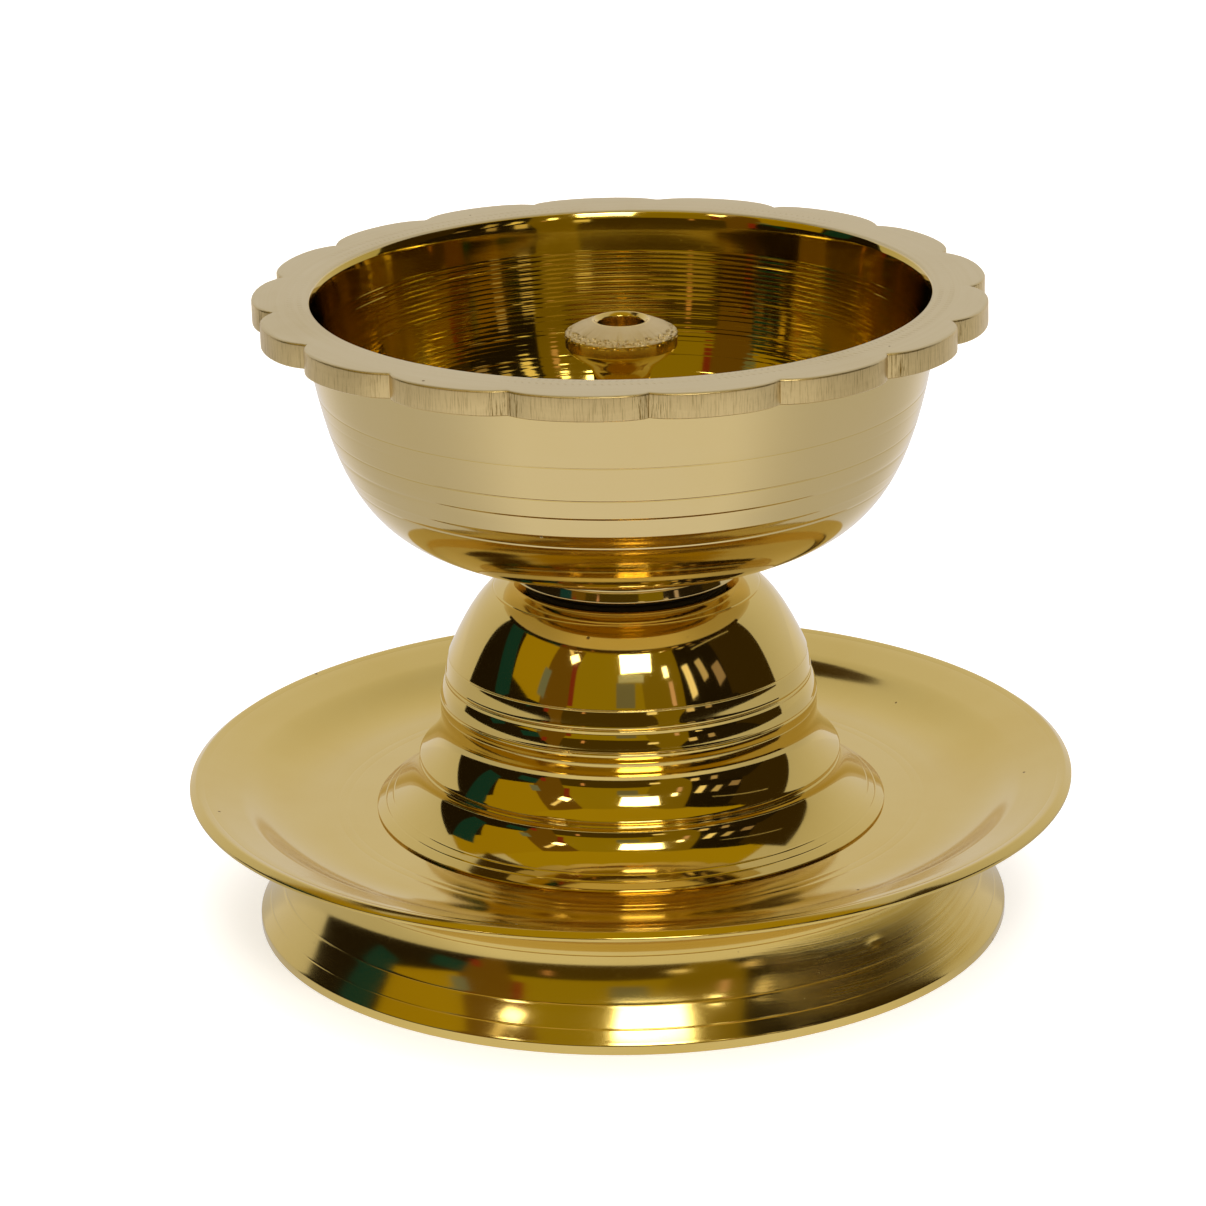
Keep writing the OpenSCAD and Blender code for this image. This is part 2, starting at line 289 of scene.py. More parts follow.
def make_pedestal():
    """Two concave flares, an upright wall with beads, and a dome."""
    lower_flare = scored(
        curve((skirt_r - 0.05, floor_z + 0.25), (skirt_r - 3.4, floor_z + 2.2),
              (step_r + 0.1, step_z - 2.5), (step_r + 0.08, step_z - 0.8), 30),
        [(floor_z + 0.9, 0.1, 0.03), (floor_z + 1.5, 0.12, -0.02)])
    step = [(step_r + 0.04, step_z - 0.7), (step_r - 0.1, step_z - 0.55),
            (step_r + 0.04, step_z - 0.4), (step_r + 0.02, step_z - 0.06)]
    upper_flare = curve((step_r - 0.12, step_z + 0.1), (step_r - 1.2, step_z + 1.1),
                        (band_r, step_z + 2.8), (band_r, step_z + 4.6), 30)
    wall = scored([(band_r, step_z + 4.7), (band_r, band_z + 1.1)], [(band_z + 0.1, 0.1, 0.02)])
    low_band = [(band_r - 0.16, band_z + 1.22), (band_r - 0.02, band_z + 1.36)] + curve(
        (band_r - 0.06, band_z + 1.5), (band_r - 0.16, band_z + 2.1),
        (band_r - 0.3, band_z + 2.7), (band_r - 0.62, band_z + 3.3), 10)
    bead = [(band_r - 0.62, band_z + 3.66), (band_r - 0.78, band_z + 3.76),
            (band_r - 0.64, band_z + 3.86), (band_r - 0.65, band_z + 4.1)]
    high_band = curve((band_r - 0.7, band_z + 4.2), (band_r - 0.8, band_z + 4.7),
                      (band_r - 0.9, band_z + 5.3), (band_r - 1.06, band_z + 5.8), 8)
    line = [(band_r - 1.06, band_z + 5.88), (band_r - 1.15, band_z + 5.95),
            (band_r - 1.07, band_z + 6.02)]
    rise = pedestal_z - dome_z
    dome = scored(
        curve((dome_r, dome_z), (dome_r - 2.3, dome_z + 0.58 * rise),
              (dome_top_r + 2.8, pedestal_z - 0.8), (dome_top_r, pedestal_z), 44),
        [(pedestal_z - 1.0, 0.14, 0.04)])
    top = [(stud_r, pedestal_z), (stud_r, pedestal_z - 7)]
    inside = [(dome_r - 7.5, pedestal_z - 7)] + curve(
        (dome_r - 5.6, pedestal_z - 7.2), (dome_r - 3.6, dome_z + 0.6),
        (dome_r - 2.6, dome_z - 1.5), (dome_r - 2.3, dome_z - 4), 10) + [
        (band_r - 2.4, band_z - 3.4), (step_r - 2.4, step_z - 2.6),
        (skirt_r - 2.4, floor_z + 0.8), (skirt_r - 2.4, floor_z)]
    outline = eased(
        [(skirt_r - 0.2, floor_z)] + lower_flare + step + upper_flare + wall + low_band + bead
        + high_band + line + dome + top + inside, radius=0.07, closed=True)
    return turned("pedestal_dome", outline, 288)


def lobe_edge(a, start, width):
    """Distance from the axis to the edge of the lobe that starts at an angle."""
    off = abs((a - start) / width * 2 - 1)
    return tip_r - notch_depth * (0.55 * off ** 2 + 0.45 * off ** 5)


def bowl_outline():
    """From the stud socket up the outside, over the flange and down to the boss."""
    collar = (
        [(stud_r + play, stud_top_z + 0.2), (stud_r + play, collar_z + 0.3),
         (stud_r + play + 0.3, collar_z), (collar_r - 0.5, collar_z),
         (collar_r - 0.25, collar_z + 0.15)]
        + scored(curve((collar_r - 0.1, collar_z + 0.3), (collar_r - 0.3, collar_z + 1.0),
                       (collar_r - 0.6, collar_z + 1.8), (collar_r - 0.8, collar_z + 2.7), 12),
                 [(collar_z + 1.5, 0.12, 0.04)])
        + [(collar_r - 0.7, shoulder_z - 0.5), (shoulder_r - 0.3, shoulder_z - 0.36),
           (shoulder_r, shoulder_z - 0.12)]
    )
    side_h = flange_z - shoulder_z
    side = scored(
        curve((shoulder_r + 0.05, shoulder_z + 0.02), (wall_r - 6.6, shoulder_z + 1.4),
              (wall_r - 2.8, shoulder_z + 0.3 * side_h), (wall_r, flange_z), 48),
        [(shoulder_z + 9.4, 0.2, 0.04), (shoulder_z + 10.9, 0.3, -0.02),
         (shoulder_z + 13.0, 0.34, 0.05), (shoulder_z + 15.4, 0.13, 0.03),
         (shoulder_z + 17.9, 0.1, 0.01), (shoulder_z + 19.4, 0.12, 0.03)])
    flange = [(wall_r + 1.5, flange_z), (tip_r - 2.6, flange_z), (tip_r - 0.25, flange_z),
              (tip_r, flange_z + 0.12), (tip_r, (flange_z + rim_z) / 2), (tip_r, rim_z - 0.16),
              (tip_r - 0.25, rim_z), (tip_r - 2.6, rim_z), (mouth_r + 2, rim_z),
              (mouth_r + 0.25, rim_z)]
    mouth = [(mouth_r - 0.05, rim_z - 0.2), (mouth_r - 0.35, rim_z - 0.8),
             (mouth_r - 0.5, rim_z - 1.6), (mouth_r - 0.6, rim_z - 2.4)]
    inner = curve((wall_r - bowl_wall, flange_z), (wall_r - bowl_wall - 2.8,
                  shoulder_z + 0.3 * side_h + bowl_wall), (wall_r - bowl_wall - 6.6,
                  shoulder_z + 1.4 + bowl_wall), (shoulder_r - 0.8, shoulder_z + bowl_wall), 40)
    wall = ringed(inner[1:17], 0.55, 0.026) + ringed(inner[17:25], 0.7, 0.012)
    well = ringed(inner[25:38], 0.9, 0.004)
    boss = [(shoulder_r - 1.2, cup_floor_z), (boss_r + 0.3, cup_floor_z),
            (boss_r, cup_floor_z + 0.3), (boss_r, boss_z - 0.5), (boss_r - 0.5, boss_z),
            (screw_r + play + 0.25, boss_z), (screw_r + play, boss_z - 0.25),
            (screw_r + play, screw_z - 0.2)]
    return eased(
        [(0, stud_top_z + 0.2)] + collar + side + flange + mouth + wall + well + boss
        + [(0, screw_z - 0.2)])


def notch_angles():
    """Where each lobe starts. They are filed by hand, a little off their even places."""
    even = 2 * math.pi / lobes
    starts = []
    for k in range(lobes):
        off = 0.055 * noise.noise(Vector((k * 1.7, 0.3, 0)))
        starts.append(first_notch + even * (k + off))
    return starts + [starts[0] + 2 * math.pi]


def make_bowl():
    """The turned bowl, with its flange filed into lobes."""
    steps = 16
    starts = notch_angles()
    angles = []
    for k in range(lobes):
        for i in range(steps):
            t = i / steps
            t -= 0.07 * math.sin(2 * math.pi * t)
            angles.append(starts[k] + (starts[k + 1] - starts[k]) * t)

    def filed(r, z, a):
        if z < flange_z - 0.01 or r < wall_r + 0.2:
            return r, z
        k = max(i for i in range(lobes) if starts[i] <= a + 1e-9)
        edge = lobe_edge(a, starts[k], starts[k + 1] - starts[k])
        near = abs((a - starts[k]) / (starts[k + 1] - starts[k]) * 2 - 1)
        depth = 0.46 + 0.5 * abs(math.cos(a)) + 0.2 * noise.noise(Vector((k * 2.3, 5, 0))) * near
        edge = tip_r - (tip_r - edge) * min(1, depth)
        share = min(1, (r - wall_r - 0.2) / (tip_r - wall_r - 0.5))
        worn = 0.02 * noise.noise(Vector((a * 55, z * 1.3, 2)))
        return r - (tip_r - edge) * share + worn * share, z

    return turned("scalloped_bowl", bowl_outline(), lobes * steps, filed, angles)


def cross_drilled(piece, height):
    """Drills the feed hole through a piece from side to side."""
    drill = turned("feed_drill", [(0, -neck_r - 2), (feed_r, -neck_r - 2), (feed_r, neck_r + 2),
                                  (0, neck_r + 2)], 48)
    drill.data.transform(Matrix.Translation((0, 0, height * MM))
                         @ Matrix.Rotation(math.pi / 2, 4, "Y"))
    holes = piece.modifiers.new("feed_holes", "BOOLEAN")
    holes.operation = "DIFFERENCE"
    holes.solver = "EXACT"
    holes.object = drill
    bpy.context.view_layer.update()
    graph = bpy.context.evaluated_depsgraph_get()
    drilled = bpy.data.meshes.new_from_object(piece.evaluated_get(graph))
    piece.modifiers.clear()
    piece.data = drilled
    bpy.data.objects.remove(drill)
    return piece


def make_wick_holder():
    """A spool with a screw below, a cross feed hole and an open mouth."""
    foot_z = neck_z + 1.6
    bore_z = foot_z + 1.4
    mouth_z = cap_z - 3.2
    screw = [(screw_r - 0.3, screw_z), (screw_r, screw_z + 0.3)] + [
        (screw_r, screw_z + 0.3 + (boss_z - 0.1 - screw_z - 0.3) * i / 44) for i in range(1, 45)]
    seat = [(screw_r, neck_z), (neck_r + 1.4, neck_z), (neck_r + 1.4, neck_z + 1)]
    stem = curve((neck_r + 0.5, foot_z - 0.1), (neck_r, foot_z + 1), (neck_r, foot_z + 2),
                 (neck_r, foot_z + 3), 8)
    ogee = curve((neck_r, cap_under_z - 4), (neck_r, cap_under_z - 1.8),
                 (cap_r - 1.1, cap_under_z - 1.7), (cap_r, cap_under_z), 18)
    side = [(cap_r, cap_edge_z - 0.55 + 0.12 * i) for i in range(5)]
    crown = [(cap_r - 0.08 * i, cap_edge_z + 0.045 * i) for i in range(1, 11)]
    top = [(cap_r - 1.0, cap_edge_z + 0.55), (wick_mouth_r + 0.5, cap_z - 0.04),
           (wick_mouth_r + 0.3, cap_z)]
    bore = [(wick_mouth_r - 0.2, cap_z - 0.4), (wick_mouth_r - 0.2, mouth_z + 0.6),
            (wick_bore_r, mouth_z), (wick_bore_r, bore_z)]
    outline = eased([(0, screw_z)] + screw + seat + stem + ogee + side + crown + top + bore
                    + [(0, bore_z - 0.5)], radius=0.1)
    cut = threaded(screw_r, screw_pitch, 0.38, screw_z + 0.1, boss_z)

    def knurled(r, z, a):
        """The cap's shoulder is pecked all over, which leaves it rough and bright."""
        r, z = cut(r, z, a)
        if r < cap_r - 0.85 or z < cap_edge_z - 0.35:
            return r, z
        peck = noise.noise(Vector((math.cos(a), math.sin(a), 0)) * 24 + Vector((0, 0, r * 7 + z * 5)))
        return r + 0.3 * min(0, peck - 0.1), z + 0.22 * min(0, peck - 0.1)

    piece = turned("wick_holder_spool", outline, 288, knurled)
    return cross_drilled(piece, bore_z + feed_r)


def make_stud():
    """A bar threaded from end to end."""
    rows = 8 * round((stud_top_z - stud_z) / stud_pitch)
    body = [(stud_r, stud_z + 0.5 + (stud_top_z - stud_z - 1) * i / rows) for i in range(rows + 1)]
    outline = [(0, stud_z), (stud_r - 0.5, stud_z)] + body + [(stud_r - 0.5, stud_top_z),
                                                              (0, stud_top_z)]
    return turned("tie_stud_threaded", outline, 48,
                  threaded(stud_r, stud_pitch, 0.55, stud_z + 0.3, stud_top_z - 0.3))


def make_nut():
    """A hexagonal nut, with both faces chamfered to a circle as a turned nut is."""
    across = nut_corner_r * math.cos(math.pi / 6)

    def hexagon(r, z, a):
        if r < across - 0.6:
            return r, z
        edge = across / math.cos((a + math.pi / 6) % (math.pi / 3) - math.pi / 6)
        drop = max(0, edge - across) * 0.55
        if z > nut_top_z - 1e-3 or z < nut_z + 1e-3:
            return min(edge, across + 0.05), z
        inset = drop if abs(z - nut_z) < 0.8 or abs(z - nut_top_z) < 0.8 else 0
        return edge, z + (inset if z < (nut_z + nut_top_z) / 2 else -inset) * 0.5

    half = (nut_z + nut_top_z) / 2
    outline = [(stud_r, nut_top_z - 0.5), (stud_r, nut_z + 0.5), (stud_r + 0.5, nut_z),
               (across - 0.5, nut_z), (across, nut_z + 0.12), (across, half), (across, nut_top_z - 0.12),
               (across - 0.5, nut_top_z), (stud_r + 0.5, nut_top_z)]
    return turned("hexagon_nut", outline, 144, hexagon)


def make_washer(name, low, high, outer, inner, ease):
    """A flat ring with its corners eased."""
    outline = [(inner, low), (outer, low), (outer, (low + high) / 2), (outer, high), (inner, high),
               (inner, (low + high) / 2)]
    return turned(name, eased(outline, radius=ease, steps=4, closed=True), 144)


# ---------------------------------------------------------------- shader maths


class Value:
    """A shader socket. Operators on it add Math nodes to its finish."""

    def __init__(self, finish, socket):
        self.finish = finish
        self.socket = socket

    def math(self, operation, *others):
        sockets = {i: v for i, v in enumerate((self, *others))}
        return self.finish.node("Math", {"operation": operation}, sockets)

    def from_left(self, operation, other):
        return self.finish.node("Math", {"operation": operation}, {0: other, 1: self})

    def __add__(self, other):
        return self.math("ADD", other)

    def __radd__(self, other):
        return self.from_left("ADD", other)

    def __sub__(self, other):
        return self.math("SUBTRACT", other)

    def __rsub__(self, other):
        return self.from_left("SUBTRACT", other)

    def __mul__(self, other):
        return self.math("MULTIPLY", other)

    def __rmul__(self, other):
        return self.from_left("MULTIPLY", other)

    def __truediv__(self, other):
        return self.math("DIVIDE", other)

    def __pow__(self, other):
        return self.math("POWER", other)

    def between(self, low, high):
        """0 below low and 1 above high, with a soft step."""
        settings = {"interpolation_type": "SMOOTHSTEP"}
        return self.finish.node("MapRange", settings, {0: self, 1: low, 2: high})


class Finish:
    """A material with one Principled shader, and the nodes that feed it."""

    def __init__(self, name, **uniform):
        self.material = bpy.data.materials.new(name)
        self.material.use_nodes = True
        self.tree = self.material.node_tree
        self.shader = self.tree.nodes["Principled BSDF"]
        for socket, value in uniform.items():
            self.shader.inputs[socket.replace("_", " ")].default_value = value
        place = self.node("TexCoord", out="Object")
        self.place = place
        split = self.node("SeparateXYZ", sockets={0: place}, out=None)
        self.x, self.y, self.z = [Value(self, s) * (1 / MM) for s in split.outputs]
        self.radius = (self.x * self.x + self.y * self.y) ** 0.5

    def node(self, kind, settings=None, sockets=None, out=0):
        """Adds a node, sets it up, fills or links its sockets, and gives the output asked for."""
        made = self.tree.nodes.new("ShaderNode" + kind)
        for key, value in (settings or {}).items():
            if key == "stops":
                ramp = made.color_ramp
                while len(ramp.elements) < len(value):
                    ramp.elements.new(0.5)
                for element, (position, colour) in zip(ramp.elements, value):
                    element.position = position
                    element.color = (*colour, 1)
            else:
                setattr(made, key, value)
        for key, value in (sockets or {}).items():
            if isinstance(value, Value):
                self.tree.links.new(value.socket, made.inputs[key])
            else:
                made.inputs[key].default_value = value
        return made if out is None else Value(self, made.outputs[out])

    def feed(self, socket, value):
        self.tree.links.new(value.socket, self.shader.inputs[socket])

    def noise(self, vector, scale, detail=2, roughness=0.5):
        sockets = {"Vector": vector, "Scale": scale, "Detail": detail, "Roughness": roughness}
        return self.node("TexNoise", {}, sockets)

    def mixed(self, share, first, second):
        return self.node("Mix", {"data_type": "RGBA"}, {0: share, 6: first, 7: second}, out=2)

    def round_axis(self, along, twist=1.4):
        """A vector that runs quickly with along and slowly round the axis."""
        parts = {0: self.x / self.radius * twist, 1: self.y / self.radius * twist, 2: along}
        return self.node("CombineXYZ", {}, parts)

    def pits(self, scale, size):
        """Small round specks, 1 inside and 0 outside, over a share of the surface."""
        cell = self.node("TexVoronoi", {"feature": "F1"}, {"Vector": self.place, "Scale": scale},
                         out=None)
        some = Value(self, self.node("SeparateColor", {}, {0: Value(self, cell.outputs["Color"])},
                                     out=None).outputs[0])
        near = 1 - Value(self, cell.outputs["Distance"]).between(size * 0.6, size)
        return near * some.between(0.72, 0.76)

    def bump(self, height):
        """height is in metres, so the bump is as deep as the surface it stands for."""
        self.feed("Normal", self.node("Bump", {}, {"Strength": 1, "Distance": 1, "Height": height}))


def file_strokes_and_notch_shade(f, height, rough, tone, filed):
    """Upright file strokes on the flange's edge, with painted shade that darkens them most in the
    notches.
    """
    across = f.node("CombineXYZ", {}, {0: f.x * 9, 1: f.y * 9, 2: f.z * 0.35})
    strokes = f.noise(across, 1.0, 3, 0.7)
    height = height + strokes * (filed * 1e-6)
    angle = f.y.math("ARCTAN2", f.x)
    # Painted shade: the strokes are darkened further in the notches, in patches.
    painted_notch_shade = (angle * lobes - first_notch * lobes).math("COSINE").between(0.55, 1.0)
    patchy = f.noise(f.place, 130, 1).between(0.35, 0.6)
    tone = tone + strokes.between(0.5, 0.66) * (0.35 + painted_notch_shade * patchy * 0.9)
    return height, rough + strokes * 0.12, tone


def polishing_strokes(f, height, rough, tone):
    """Coarse polishing strokes low on one side of the foot."""
    side = (f.x * 0.72 - f.y * 0.69) / f.radius
    patch = side.between(0.86, 0.99) * f.z.between(0.9, 2.4) * (1 - f.z.between(9.0, 10.5))
    strokes = f.noise(f.round_axis((f.z + f.radius * 0.4 + side * 6) * 3.4, 1.1), 1.0, 4, 0.75)
    height = height + strokes * patch * 45e-6
    rough = rough + patch * strokes * 0.3
    return height, rough, tone + patch * strokes.between(0.45, 0.62) * 0.8


def punched_ticks(f, height, tone):
    """Two fine rows of punched ticks round the mouth."""
    angle = f.y.math("ARCTAN2", f.x)
    for row, lean in ((mouth_r + 1.0, 1.0), (mouth_r + 2.2, -1.0)):
        ticks = (angle * 300 + (f.radius - row) * (3.0 * lean)).math("SINE").between(0.35, 0.8)
        on_row = 1 - (f.radius - row).math("ABSOLUTE").between(0.18, 0.36)
        on_top = f.z.between(rim_z - 0.3, rim_z - 0.1)
        faint = f.noise(f.place, 60, 1).between(0.4, 0.55)
        height = height - ticks * on_row * on_top * faint * 30e-6
        tone = tone + ticks * on_row * on_top * faint * 0.6
    return height, tone


def brass(name, colour, deep, gloss, lathe, soft=1.0, rings=0.0, filed=0.0, scratched=False,
          pecked=False):
    """Brass with turning marks round the axis, a soft polisher's wave, stains and casting pits.
    lathe, rings and filed are the depths of their marks in micrometres."""
    f = Finish(name, Metallic=1.0, IOR=1.5)
    along = f.z + f.radius
    marks = f.noise(f.round_axis(along * 2.2), 1.0, 4, 0.65)
    broad = f.noise(f.round_axis(along * 0.35, 0.8), 1.0, 2)
    wave = f.noise(f.place, 70, 1)
    stain = f.noise(f.place, 45, 4, 0.6)
    rub = f.noise(f.place, 900, 3, 0.7)
    pits = f.pits(240, 0.05)
    height = marks * (lathe * 1e-6) + wave * (soft * 16e-6) + broad * (lathe * 2e-6)
    rough = gloss + marks * (gloss * 0.5) + stain.between(0.5, 0.75) * 0.05
    tone = stain.between(0.35, 0.8) * 0.35 + marks * 0.12
    if rings:
        thread = f.noise(f.round_axis(along * 3.2, 0.6), 1.0, 1)
        height = height + thread * (rings * 1e-6)
    if filed:
        height, rough, tone = file_strokes_and_notch_shade(f, height, rough, tone, filed)
    if scratched:
        height, rough, tone = polishing_strokes(f, height, rough, tone)
    if pecked:
        height, tone = punched_ticks(f, height, tone)
    height = height - pits * 25e-6
    rough = rough + rub.between(0.62, 0.8) * 0.08 + pits * 0.3
    tint = f.mixed(tone.math("MINIMUM", 1.0), (*colour, 1), (*deep, 1))
    f.feed("Base Color", f.mixed(pits * 0.8, tint, (0.12, 0.06, 0.02, 1)))
    f.feed("Roughness", rough)
    f.bump(height)
    return f.material


def rubber(name):
    """Matt black sheet rubber with a fine grain and a dusty bloom."""
    f = Finish(name, Metallic=0.0, IOR=1.5)
    grain = f.noise(f.place, 2500, 3, 0.7)
    bloom = f.noise(f.place, 300, 2)
    f.feed("Base Color", f.mixed(bloom, (0.012, 0.011, 0.01, 1), (0.035, 0.032, 0.028, 1)))
    f.feed("Roughness", 0.55 + grain * 0.3)
    f.bump(grain * 8e-6)
    return f.material


# ---------------------------------------------------------------- finishes

pale = (0.745, 0.60, 0.285)
rich = (0.725, 0.555, 0.175)
warm = (0.66, 0.46, 0.09)
bowl_skin = brass("turned_bowl_brass", pale, (0.71, 0.55, 0.2), 0.06, 1.0, 0.6)
# The filed edge carries real file strokes and painted shade in its notches.
bowl_edge = brass("filed_edge_brass_with_notch_shade", (0.77, 0.61, 0.29), (0.22, 0.14, 0.03), 0.22, 1.0, 0.5,
                  filed=8.0)
bowl_well = brass("ringed_well_brass", (0.64, 0.47, 0.09), (0.46, 0.31, 0.04), 0.05, 0.6, 0.5,
                  rings=0.6)
frosted = brass("frosted_flange_brass", (0.68, 0.58, 0.33), (0.60, 0.49, 0.24), 0.3, 1.0, 0.5,
                pecked=True)
dome_skin = brass("polished_dome_brass", rich, warm, 0.045, 0.7, 0.7)
dish_skin = brass("turned_dish_brass", rich, warm, 0.09, 1.3, 1.0, scratched=True)
holder_skin = brass("bright_holder_brass", (0.74, 0.56, 0.18), warm, 0.12, 0.8, 0.3)
holder_top = brass("frosted_cap_brass", (0.80, 0.67, 0.39), (0.66, 0.52, 0.25), 0.48, 0.8, 0.3)
bar_skin = brass("bright_bar_brass", (0.76, 0.60, 0.26), (0.55, 0.39, 0.13), 0.2, 2.0, 0.3)
rubber_skin = rubber("black_sheet_rubber")

# ---------------------------------------------------------------- assembly


def dress(piece, node, body, slot, *skins):
    """Gives a piece its finishes and its place in the assembly."""
    for skin in skins:
        piece.data.materials.append(skin)
    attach(piece, body)
    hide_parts(node)
    return piece


def assign(piece, index, where):
    """Gives the faces that pass a test on radius, height and slope one of the piece's finishes."""
    for face in piece.data.polygons:
        c = face.center
        if where(math.hypot(c.x, c.y) / MM, c.z / MM, face.normal):
            face.material_index = index


dress(make_base_plate(), "base_plate", "stand", "polished_brass", dish_skin)
dress(make_pedestal(), "pedestal", "stand", "polished_brass", dome_skin)
dress(make_stud(), "tie_stud", "stand", "bright_brass", bar_skin)
dress(make_nut(), "tie_nut", "stand", "bright_brass", bar_skin)
dress(make_washer("plain_washer", washer_z, underside_z, washer_r, stud_r + 0.3, 0.2),
      "tie_washer", "stand", "bright_brass", bar_skin)
dress(make_washer("seat_ring_rubber", seat_z, seat_top_z, seat_r, stud_r + 0.3, 0.15),
      "seat_washer", "seat_ring", "black_rubber", rubber_skin)
dress(make_washer("oil_seal_rubber", boss_z, neck_z, seal_r, screw_r + 0.3, 0.12),
      "oil_seal", "seal_ring", "black_rubber", rubber_skin)
bowl = dress(make_bowl(), "bowl", "cup", "polished_brass", bowl_skin, bowl_edge, bowl_well, frosted)
assign(bowl, 1, lambda r, z, n: z > flange_z + 0.05 and r > mouth_r + 2 and abs(n.z) < 0.75)
assign(bowl, 2, lambda r, z, n: z > cup_floor_z - 0.5 and r < mouth_r and z < rim_z - 0.3
       and n.z > -0.02)
assign(bowl, 3, lambda r, z, n: z > rim_z - 0.2 and n.z > 0.75)
holder = dress(make_wick_holder(), "wick_holder", "holder", "bright_brass", holder_skin, holder_top)
assign(holder, 1, lambda r, z, n: z > cap_edge_z - 0.1 and r > wick_mouth_r + 0.45)

# ---------------------------------------------------------------- stage


def glow(name, colour, strength):
    """An even glow, the same from every side."""
    material = bpy.data.materials.new(name)
    material.use_nodes = True
    tree = material.node_tree
    tree.nodes.clear()
    light = tree.nodes.new("ShaderNodeEmission")
    light.inputs["Color"].default_value = (*colour, 1)
    light.inputs["Strength"].default_value = strength
    out = tree.nodes.new("ShaderNodeOutputMaterial")
    tree.links.new(light.outputs[0], out.inputs[0])
    return material


def panel(name, azimuth, elevation, wide, high, lean, colour, strength=1.0, distance=1.6):
    """A flat studio panel that faces the lamp. Azimuth 0 is the viewer's side, and the sizes are
    the angles that it fills as the lamp sees it."""
    a, e = math.radians(azimuth), math.radians(elevation)
    away = Vector((math.sin(a) * math.cos(e), -math.cos(a) * math.cos(e), math.sin(e)))
    half = (math.tan(math.radians(wide / 2)) * distance, math.tan(math.radians(high / 2)) * distance)
    mesh = bpy.data.meshes.new(name)
    corners = [(-half[0], -half[1], 0), (half[0], -half[1], 0), (half[0], half[1], 0),
               (-half[0], half[1], 0)]
    mesh.from_pydata(corners, [], [(0, 1, 2, 3)])
    mesh.materials.append(glow(name, colour, strength))
    card = bpy.data.objects.new(name, mesh)
    bpy.context.scene.collection.objects.link(card)
    card.matrix_world = (
        Matrix.Translation(away * distance + Vector((0, 0, 0.04)))
        @ away.to_track_quat("Z", "Y").to_matrix().to_4x4()
        @ Matrix.Rotation(math.radians(lean), 4, "Z"))
    card.visible_camera = False
    card.visible_shadow = False


def make_floor():
    """A plain pale table top. The camera sees it lit white, and the lamp sees it glow, with painted
    shade darker to the left and right.
    """
    mesh = bpy.data.meshes.new("table_top")
    reach = 4.0
    mesh.from_pydata([(-reach, -reach, 0), (reach, -reach, 0), (reach, reach, 0),
                      (-reach, reach, 0)], [], [(0, 1, 2, 3)])
    floor = bpy.data.objects.new("table_top", mesh)
    bpy.context.scene.collection.objects.link(floor)
    f = Finish("white_table", Roughness=1.0)
    f.feed("Base Color", f.mixed(f.noise(f.place, 3), (0.78, 0.78, 0.78, 1), (0.8, 0.8, 0.8, 1)))
    f.shader.inputs["Specular IOR Level"].default_value = 0
    f.shader.inputs["Emission Color"].default_value = (1, 1, 1, 1)
    f.shader.inputs["Emission Strength"].default_value = 0.62
    # Painted shade: the glow that the lamp sees on the table is darker to the left and right.
    aside = f.x.math("ABSOLUTE") / f.radius
    shade = 0.8 - aside.between(0.55, 1.0) * 0.22
    seen = f.node("Emission", {}, {"Strength": shade, "Color": (1.0, 0.955, 0.965, 1)})
    camera = f.node("LightPath")
    both = f.node("MixShader", {}, {0: camera, 1: seen})
    f.tree.links.new(f.shader.outputs[0], both.socket.node.inputs[2])
    f.tree.links.new(both.socket, f.tree.nodes["Material Output"].inputs[0])
    mesh.materials.append(f.material)


